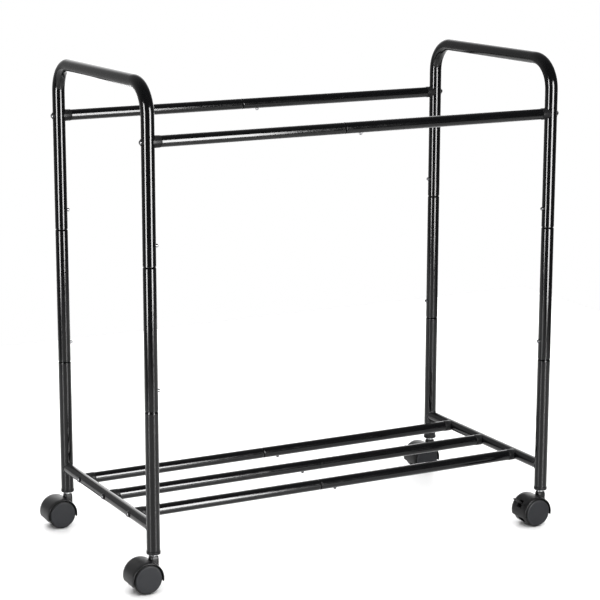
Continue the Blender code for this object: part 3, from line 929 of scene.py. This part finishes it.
def stem_shape():
    """Steel pin in the socket, with a grip groove at its top and a collar above the hood."""
    groove_r = STEM_R - STEM_GROOVE
    collar_top = SOCKET_BOTTOM - STEM_COLLAR_TOP
    collar_bottom = SOCKET_BOTTOM - STEM_COLLAR_BOTTOM
    corners = [
        (0, STEM_TOP),
        (STEM_R, STEM_TOP, 1.5 * MM),
        (STEM_R, STEM_TOP - STEM_GROOVE_TOP + 0.5 * MM, 0.3 * MM),
        (groove_r, STEM_TOP - STEM_GROOVE_TOP, 0.3 * MM),
        (groove_r, STEM_TOP - STEM_GROOVE_BOTTOM, 0.3 * MM),
        (STEM_R, STEM_TOP - STEM_GROOVE_BOTTOM - 0.5 * MM, 0.3 * MM),
        (STEM_R, collar_top),
        (STEM_COLLAR_R, collar_top, 0.2 * MM),
        (STEM_COLLAR_R, collar_bottom, 0.2 * MM),
        (STEM_R, collar_bottom),
        (STEM_R, STEM_FOOT, 0.6 * MM),
        (0, STEM_FOOT),
    ]
    return turned(corners, SMALL_SIDES, False)


def about_axle(angle, radius, y):
    """A point in the caster's frame, from its angle and distance about the axle."""
    turn = math.radians(angle)
    return Vector((-TRAIL + radius * math.cos(turn), y, WHEEL_R + radius * math.sin(turn)))


def sector(first, last, low_r, high_r, half, steps=6):
    """A plain cutter between two angles and two radii about the axle."""
    section = [(-half, low_r), (half, low_r), (half, high_r), (-half, high_r)]
    rings = []
    for k in range(steps + 1):
        angle = first + (last - first) * k / steps
        rings.append([about_axle(angle, radius, y) for y, radius in section])
    return loft(rings, False)


def hood_section():
    """T-shaped section of the hood: the crowned roof over both wheels, and the web between them."""
    inner_r = HOOD_R - HOOD_WALL
    edge = HOOD_HALF_WIDTH
    half = [
        (0, HOOD_R),
        (0.62 * edge, HOOD_R - 0.05 * MM),
        (0.86 * edge, HOOD_R - 0.2 * MM),
        (edge, HOOD_R - 0.75 * MM, 0.8 * MM),
        (edge, inner_r - 0.2 * MM, 0.35 * MM),
        (edge - 1.5 * MM, inner_r),
        (HOOD_WEB, inner_r, 1.2 * MM),
        (HOOD_WEB, BOSS_R - 2 * MM),
    ]
    right = [tuple(point) for point in filleted(half, False, 3)]
    left = [(-y, radius) for y, radius in right[:0:-1]]
    return right + left


def neck_shape():
    """Rounded block that the stem turns in, with a shoulder below its top."""
    top = NECK_TOP - NECK_DROP
    levels = [
        (NECK_BOTTOM, 0.82),
        (NECK_BOTTOM + 1.2 * MM, 0.95),
        (NECK_BOTTOM + 3 * MM, 1.0),
        (top - 4.2 * MM, 1.0),
        (top - 3.2 * MM, 0.985),
        (top - 2.6 * MM, 0.95),
        (top - 0.8 * MM, 0.93),
        (top - 0.3 * MM, 0.9),
        (top, 0.84),
    ]
    rings = []
    for z, size in levels:
        points = []
        for i in range(TUBE_SIDES):
            angle = 2 * math.pi * i / TUBE_SIDES
            x = math.copysign(abs(math.cos(angle)) ** NECK_CURVE, math.cos(angle))
            y = math.copysign(abs(math.sin(angle)) ** NECK_CURVE, math.sin(angle))
            points.append(Vector((size * NECK_HALF_X * x, size * NECK_HALF_Y * y, z)))
        rings.append(points)
    return loft(rings, False)


def hood_shape(braked):
    """Hood over both wheels, with the neck, the axle's boss and, if braked, room for the lever."""
    section = hood_section()
    rings = []
    for k in range(HOOD_STEPS + 1):
        angle = HOOD_FIRST_ANGLE + (HOOD_LAST_ANGLE - HOOD_FIRST_ANGLE) * k / HOOD_STEPS
        rings.append([about_axle(angle, radius, y) for y, radius in section])
    roof = softened(loft(rings, False), 0.45 * MM, 2, 70)
    boss = moved(pin(BOSS_R, HOOD_WEB, 0.4 * MM, TUBE_SIDES), to_y(-TRAIL, 0, WHEEL_R))
    hood = carved(roof, "UNION", neck_shape(), boss)
    bore_low = STEM_FOOT - 0.3 * MM
    cuts = [
        bar(STEM_R + RUNNING_GAP, bore_low, NECK_TOP + 2 * MM),
        moved(bar(AXLE_R + RUNNING_GAP, -2 * HOOD_WEB, 2 * HOOD_WEB), to_y(-TRAIL, 0, WHEEL_R)),
    ]
    if braked:
        arm_half = LEVER_ARM_HALF + SLOT_SLACK
        first = SLOT_FIRST_ANGLE
        last = SLOT_LAST_ANGLE
        pocket_r = LEVER_RING_R + SLOT_SLACK
        cuts.append(moved(bar(pocket_r, -arm_half, arm_half), to_y(-TRAIL, 0, WHEEL_R)))
        inner = (first - SLOT_FLARE, last + SLOT_FLARE, AXLE_R + MM, SLOT_START + MM)
        cuts.append(sector(*inner, arm_half))
        cuts.append(sector(first, last, SLOT_START, PEDAL_END, PEDAL_HALF + SLOT_SLACK))
    return carved(hood, "DIFFERENCE", *cuts)


def wheel_shape():
    """Twin-caster wheel about local Z, open on its inner face at Z = 0, with spokes inside."""
    face = WHEEL_WIDTH - CAP
    cup = WHEEL_WIDTH - WHEEL_FACE
    bore_r = AXLE_R + RUNNING_GAP
    corners = [
        (0, face),
        (WHEEL_R - 1.3 * MM, face - 0.2 * MM, 0.4 * MM),
        (WHEEL_R, face - 2 * MM, 1.0 * MM),
        (WHEEL_R, 1.2 * MM, 0.8 * MM),
        (WHEEL_R - 1.2 * MM, 0, 0.3 * MM),
        (WHEEL_R - 3.2 * MM, 0, 0.3 * MM),
        (WHEEL_R - 3.4 * MM, cup, 1.5 * MM),
        (HUB_R + 0.4 * MM, cup, 1.2 * MM),
        (HUB_R, 0, 0.4 * MM),
        (bore_r, 0),
        (bore_r, AXLE_HALF - WHEEL_INNER_FACE + 0.5 * MM),
        (0, AXLE_HALF - WHEEL_INNER_FACE + 0.5 * MM),
    ]
    wheel = turned(corners, WHEEL_SIDES, False)
    outline = [
        (SPOKE_START, -SPOKE_HALF),
        (SPOKE_END, -SPOKE_END_HALF),
        (SPOKE_END, SPOKE_END_HALF),
        (SPOKE_START, SPOKE_HALF),
    ]
    spokes = []
    for i in range(SPOKES):
        spoke = prism(outline, SPOKE_DEPTH, cup + 0.5 * MM)
        spokes.append(moved(spoke, rotated(360 * i / SPOKES, "Z")))
    return carved(wheel, "UNION", *spokes)


def cap_shape():
    """Slightly crowned disc let into the outer face of a wheel, with a bevelled edge."""
    face = WHEEL_WIDTH
    seat = face - CAP - CAP_SEAT
    corners = [
        (0, face),
        (0.65 * CAP_R, face - 0.05 * MM),
        (CAP_R - 0.9 * MM, face - 0.2 * MM),
        (CAP_R, face - 0.8 * MM, 0.3 * MM),
        (CAP_R, seat),
        (0, seat),
    ]
    return turned(corners, WHEEL_SIDES, False)


def lever_shape():
    """Brake lever: a ring on the axle along local Y, an arm and a notched pedal towards +X."""
    side = [
        (LEVER_ARM_START, -LEVER_ARM_HALF),
        (PEDAL_START - 2 * MM, -LEVER_ARM_HALF),
        (PEDAL_START, -PEDAL_HALF, 1.2 * MM),
        (PEDAL_END - 0.5 * MM, -PEDAL_HALF + 0.5 * MM, 1.2 * MM),
        (PEDAL_END, -NOTCH_HALF, 0.4 * MM),
        (PEDAL_END - NOTCH_DEPTH, -NOTCH_HALF + 0.3 * MM, 0.5 * MM),
    ]
    pedal = side + [(x, -y, *rounding) for x, y, *rounding in side[::-1]]
    plate = softened(prism(filleted(pedal), -LEVER_HALF, LEVER_HALF), 0.5 * MM, 3)
    ridges = []
    for start in RIDGE_PLACES:
        end = start + RIDGE_WIDTH
        outline = [(start, -RIDGE_HALF), (end, -RIDGE_HALF), (end, RIDGE_HALF), (start, RIDGE_HALF)]
        ridge = prism(outline, LEVER_HALF - 0.5 * MM, LEVER_HALF + RIDGE_RISE)
        ridges.append(softened(ridge, 0.2 * MM))
    ring_corners = [
        (LEVER_RING_R, LEVER_ARM_HALF, 0.4 * MM),
        (LEVER_RING_R, -LEVER_ARM_HALF, 0.4 * MM),
        (AXLE_R + RUNNING_GAP, -LEVER_ARM_HALF),
        (AXLE_R + RUNNING_GAP, LEVER_ARM_HALF),
    ]
    hub = moved(turned(ring_corners, TUBE_SIDES), to_y())
    return carved(plate, "UNION", hub, *ridges)


# -------- assembly


def button_mesh(kind, button_r, tip, tube_r):
    """Snap button for a tube whose end is reduced."""
    bore_r = tube_r - SWAGE_STEP - SWAGE_WALL
    return finished(snap_button_shape(button_r, tip, bore_r), kind + "_button", BUTTON)


def assemble_end_frames():
    """Hoops, middle posts and base frames at both ends, with the buttons in the posts."""
    hoop = finished(hoop_shape(), "hoop", ENAMEL)
    mid_post = finished(mid_post_shape(), "mid_post", ENAMEL)
    base_post = finished(base_post_shape(), "base_post", ENAMEL)
    cross_tube = finished(cross_tube_shape(), "cross_tube", ENAMEL)
    weld = finished(weld_shape(), "weld", ENAMEL)
    button = button_mesh("post", POST_BUTTON_R, POST_BUTTON_TIP, POST_R)
    for side in ("left", "right"):
        x = POSTS[side + "_front"].x
        facing = at(x, 0, 0) @ half_turn(side == "right")
        piece("hoop_tube_" + side, hoop, "frame", facing, "hoop_" + side)
        level = to_y(x, 0, CROSS_HEIGHT)
        piece("cross_tube_" + side, cross_tube, "frame", level, "base_frame_" + side)
    for corner in CORNERS:
        spot = POSTS[corner]
        facing = half_turn("right" in corner)
        at_floor = at(spot.x, spot.y, 0) @ facing
        at_joint = at(spot.x, spot.y, LOW_JOINT) @ facing
        piece("base_post_" + corner, base_post, "frame", at_floor)
        piece("mid_tube_" + corner, mid_post, "frame", at_joint, "mid_post_" + corner)
        inward = rotated(-90 if spot.y < 0 else 90, "X")
        towards = at(spot.x, spot.y, CROSS_HEIGHT) @ inward
        piece("weld_" + corner, weld, "frame", towards)
        for level, height in (("low", LOW_JOINT), ("high", HIGH_JOINT)):
            name = level + "_" + corner
            place = at(spot.x, spot.y, height + BUTTON_RISE) @ facing
            piece("button_" + name, button, "snap_button_" + name, place, "snap_button_" + name)


def assemble_rails():
    """Upper and lower rails, each of two halves with a plug, a washer and a screw at the post."""
    upright = rotated(90, "Z")
    point_down = rotated(90, "Y")
    fittings = {}
    for kind, held_r in (("upper", POST_R), ("lower", RAIL_R)):
        fittings[kind] = (
            held_r,
            finished(plug_shape(held_r), kind + "_plug", PLUG),
            finished(washer_shape(held_r), kind + "_washer", PLUG),
            finished(screw_shape(held_r), kind + "_screw", SCREW),
        )
    button = button_mesh("rail", RAIL_BUTTON_R, RAIL_BUTTON_TIP, RAIL_R)
    halves = {}
    for row in UPPER_RAILS + LOWER_RAILS:
        kind = row.split("_")[0]
        held_r, plug, washer, screw = fittings[kind]
        swapped = row == "lower_rail_middle"
        # The plain half ends exactly at the joint; the reduced half reaches into it.
        joint_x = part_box(row + "_left")[1].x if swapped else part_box(row + "_right")[0].x
        spot = Vector((joint_x, centre(row + "_left").y, centre(row + "_left").z))
        along = at(*spot) @ half_turn(swapped) @ to_x()
        for side, sign in (("left", -1), ("right", 1)):
            reduced = (side == "left") != swapped
            end_x = POSTS[side + "_front"].x
            length = abs(end_x - joint_x)
            key = (kind, reduced)
            if key not in halves:
                half = rail_half_shape(length, reduced, held_r)
                halves[key] = finished(half, kind + "_rail", ENAMEL)
            node = row + "_" + side
            piece("rail_tube_" + node.replace("_rail", ""), halves[key], "frame", along, node)
            turn = upright if kind == "upper" else Matrix()
            inward = at(end_x, spot.y, spot.z) @ half_turn(sign > 0) @ to_x() @ turn
            outward = at(end_x, spot.y, spot.z) @ half_turn(sign < 0) @ to_x() @ turn
            piece("plug_" + node, plug, "frame", inward)
            piece("washer_" + node, washer, "frame", outward)
            piece("screw_" + node, screw, "frame", outward)
        shift = -RAIL_BUTTON_SHIFT if swapped else RAIL_BUTTON_SHIFT
        name = "snap_button_" + row
        below = at(spot.x + shift, spot.y, spot.z) @ half_turn(swapped)
        piece("button_" + row, button, name, below @ point_down, name)


def assemble_casters():
    """A socket, stem, hood, axle and twin wheels at each corner, and a lever where it is braked."""
    socket = finished(socket_shape(), "socket", PLASTIC)
    stem = finished(stem_shape(), "stem", STEEL)
    hoods = {braked: finished(hood_shape(braked), "hood", PLASTIC) for braked in (False, True)}
    # The wheel's tread and shoulder take the hood's near-black plastic, darker than the grey cap: partly a
    # two-tone wheel, and partly painted shade for the dark ring round the cap under the hood's lip.
    wheel = finished(wheel_shape(), "wheel", PLASTIC)
    cap = finished(cap_shape(), "wheel_cap", CAP_GREY)
    axle = finished(pin(AXLE_R, AXLE_HALF, 0.5 * MM, SMALL_SIDES), "axle", STEEL)
    lever = finished(lever_shape(), "lever", PLASTIC)
    for corner in CORNERS:
        foot = at(POSTS[corner].x, POSTS[corner].y, 0)
        hub = centre("axle_" + corner)
        hood_body = "hood_" + corner
        piece("socket_" + corner, socket, "frame", foot, "stem_socket_" + corner)
        piece("stem_" + corner, stem, "frame", foot, "caster_stem_" + corner)
        piece("hood_shell_" + corner, hoods[corner in BRAKED], hood_body, foot, "caster_hood_" + corner)
        piece("axle_pin_" + corner, axle, hood_body, to_y(*hub), "axle_" + corner)
        for face, sign in (("front", -1), ("rear", 1)):
            name = corner + "_" + face
            outward = rotated(-90 * sign, "X")
            spot = at(hub.x, hub.y + sign * WHEEL_INNER_FACE, hub.z)
            piece("wheel_tread_" + name, wheel, "wheel_" + name, spot @ outward, "wheel_" + name)
            piece("wheel_cap_" + name, cap, "wheel_" + name, spot @ outward)
        if corner in BRAKED:
            tilt = at(*hub) @ rotated(-LEVER_ANGLE, "Y")
            name = "brake_lever_" + corner
            piece("pedal_" + corner, lever, name, tilt, name)


# -------- studio


def add_camera():
    """Camera for the main view."""
    lens = bpy.data.cameras.new("camera")
    lens.lens = CAMERA_LENS
    lens.sensor_width = SENSOR_WIDTH
    lens.shift_x = CAMERA_SHIFT
    camera = add_object("camera", lens)
    camera.matrix_world = (
        at(*CAMERA_PLACE)
        @ rotated(-CAMERA_YAW, "Z")
        @ rotated(90 - CAMERA_PITCH, "X")
        @ rotated(CAMERA_ROLL, "Z")
    )
    bpy.context.scene.camera = camera


def add_light(name, kind, place, target, power):
    """A light at a place, facing a target."""
    light = bpy.data.lights.new(name, kind)
    light.energy = power
    lamp = add_object(name, light)
    lamp.location = place
    lamp.rotation_mode = "QUATERNION"
    lamp.rotation_quaternion = (Vector(target) - Vector(place)).to_track_quat("-Z", "Y")
    lamp.visible_camera = False
    return lamp


def add_softbox(name, place, target, size, power):
    """A tall rectangular light, seen only as a thin bright line in the gloss of the tubes."""
    lamp = add_light(name, "AREA", place, target, power)
    lamp.data.shape = "RECTANGLE"
    lamp.data.size, lamp.data.size_y = size
    lamp.visible_diffuse = False


def add_ceiling_light():
    """Soft light from all over the ceiling, as off white paper: it has no reflection of its own."""
    lamp = add_light("ceiling_light", "SUN", CEILING_PLACE, CEILING_TARGET, CEILING_POWER)
    lamp.data.angle = math.radians(CEILING_SPREAD)
    lamp.visible_glossy = False


def add_world():
    """White all round for the camera; what lights the rack is bright behind it and dim elsewhere."""
    world = bpy.data.worlds.new("studio")
    bpy.context.scene.world = world
    world.use_nodes = True
    tree = world.node_tree
    tree.nodes.clear()
    white = (1, 1, 1, 1)
    fill_limits = {"From Min": FILL_START, "From Max": FILL_END, "To Min": FRONT_FILL, "To Max": REAR_FILL}
    glow_limits = {"From Min": GLOW_START, "From Max": 1.0, "To Max": GLOW}
    direction = add_node(tree, "TexCoord").outputs["Generated"]
    split = add_node(tree, "SeparateXYZ")
    fill = add_node(tree, "MapRange", fill_limits)
    towards = add_node(tree, "VectorMath", {1: GLOW_DIRECTION}, operation="DOT_PRODUCT")
    glow = add_node(tree, "MapRange", glow_limits, interpolation_type="SMOOTHSTEP")
    total = add_node(tree, "Math", operation="ADD")
    lit = add_node(tree, "Background", {"Color": white})
    seen = add_node(tree, "Background", {"Color": white, "Strength": BACKDROP})
    path = add_node(tree, "LightPath")
    switch = add_node(tree, "MixShader")
    output = add_node(tree, "OutputWorld")
    links = [
        (direction, split.inputs["Vector"]),
        (split.outputs["Y"], fill.inputs["Value"]),
        (direction, towards.inputs[0]),
        (towards.outputs["Value"], glow.inputs["Value"]),
        (fill.outputs["Result"], total.inputs[0]),
        (glow.outputs["Result"], total.inputs[1]),
        (total.outputs["Value"], lit.inputs["Strength"]),
        (path.outputs["Is Camera Ray"], switch.inputs["Fac"]),
        (lit.outputs["Background"], switch.inputs[1]),
        (seen.outputs["Background"], switch.inputs[2]),
        (switch.outputs["Shader"], output.inputs["Surface"]),
    ]
    for source, target in links:
        tree.links.new(source, target)


def add_floor():
    """Square of studio paper under the rack."""
    shape = bmesh.new()
    bmesh.ops.create_grid(shape, x_segments=FLOOR_CELLS, y_segments=FLOOR_CELLS, size=FLOOR_HALF)
    mesh = to_mesh(shape, "floor")
    mesh.materials.append(floor_look())
    floor = add_object("floor", mesh)


ENAMEL = enamel_look()
PLASTIC = moulded_look(
    "hood_plastic",
    dark=(0.004, 0.004, 0.0044),
    light=(0.0065, 0.0065, 0.007),
    worn=(0.026, 0.026, 0.027),
    gloss=0.34,
    sheen=0.16,
    grain=1500,
    depth=0.05 * MM,
)
PLUG = moulded_look(
    "plug_plastic",
    dark=(0.007, 0.007, 0.0075),
    light=(0.011, 0.011, 0.0115),
    worn=(0.035, 0.035, 0.036),
    gloss=0.36,
    sheen=0.07,
    grain=1800,
    depth=0.03 * MM,
)
CAP_GREY = moulded_look(
    "cap_plastic",
    dark=(0.020, 0.021, 0.024),
    light=(0.026, 0.027, 0.030),
    worn=(0.065, 0.065, 0.068),
    gloss=0.38,
    sheen=0.09,
    grain=1100,
    depth=0.03 * MM,
)
STEEL = steel_look("bright_steel", dark=(0.38, 0.38, 0.39), light=(0.72, 0.72, 0.73), gloss=0.16)
BUTTON = steel_look("button_steel", dark=(0.035, 0.035, 0.037), light=(0.1, 0.1, 0.103), gloss=0.2)
SCREW = steel_look("dark_steel", dark=(0.07, 0.07, 0.075), light=(0.16, 0.16, 0.165), gloss=0.22)

assemble_end_frames()
assemble_rails()
assemble_casters()
add_camera()
add_world()
add_floor()
for softbox in SOFTBOXES:
    add_softbox(*softbox)
add_ceiling_light()
bpy.context.scene.view_settings.view_transform = "Standard"
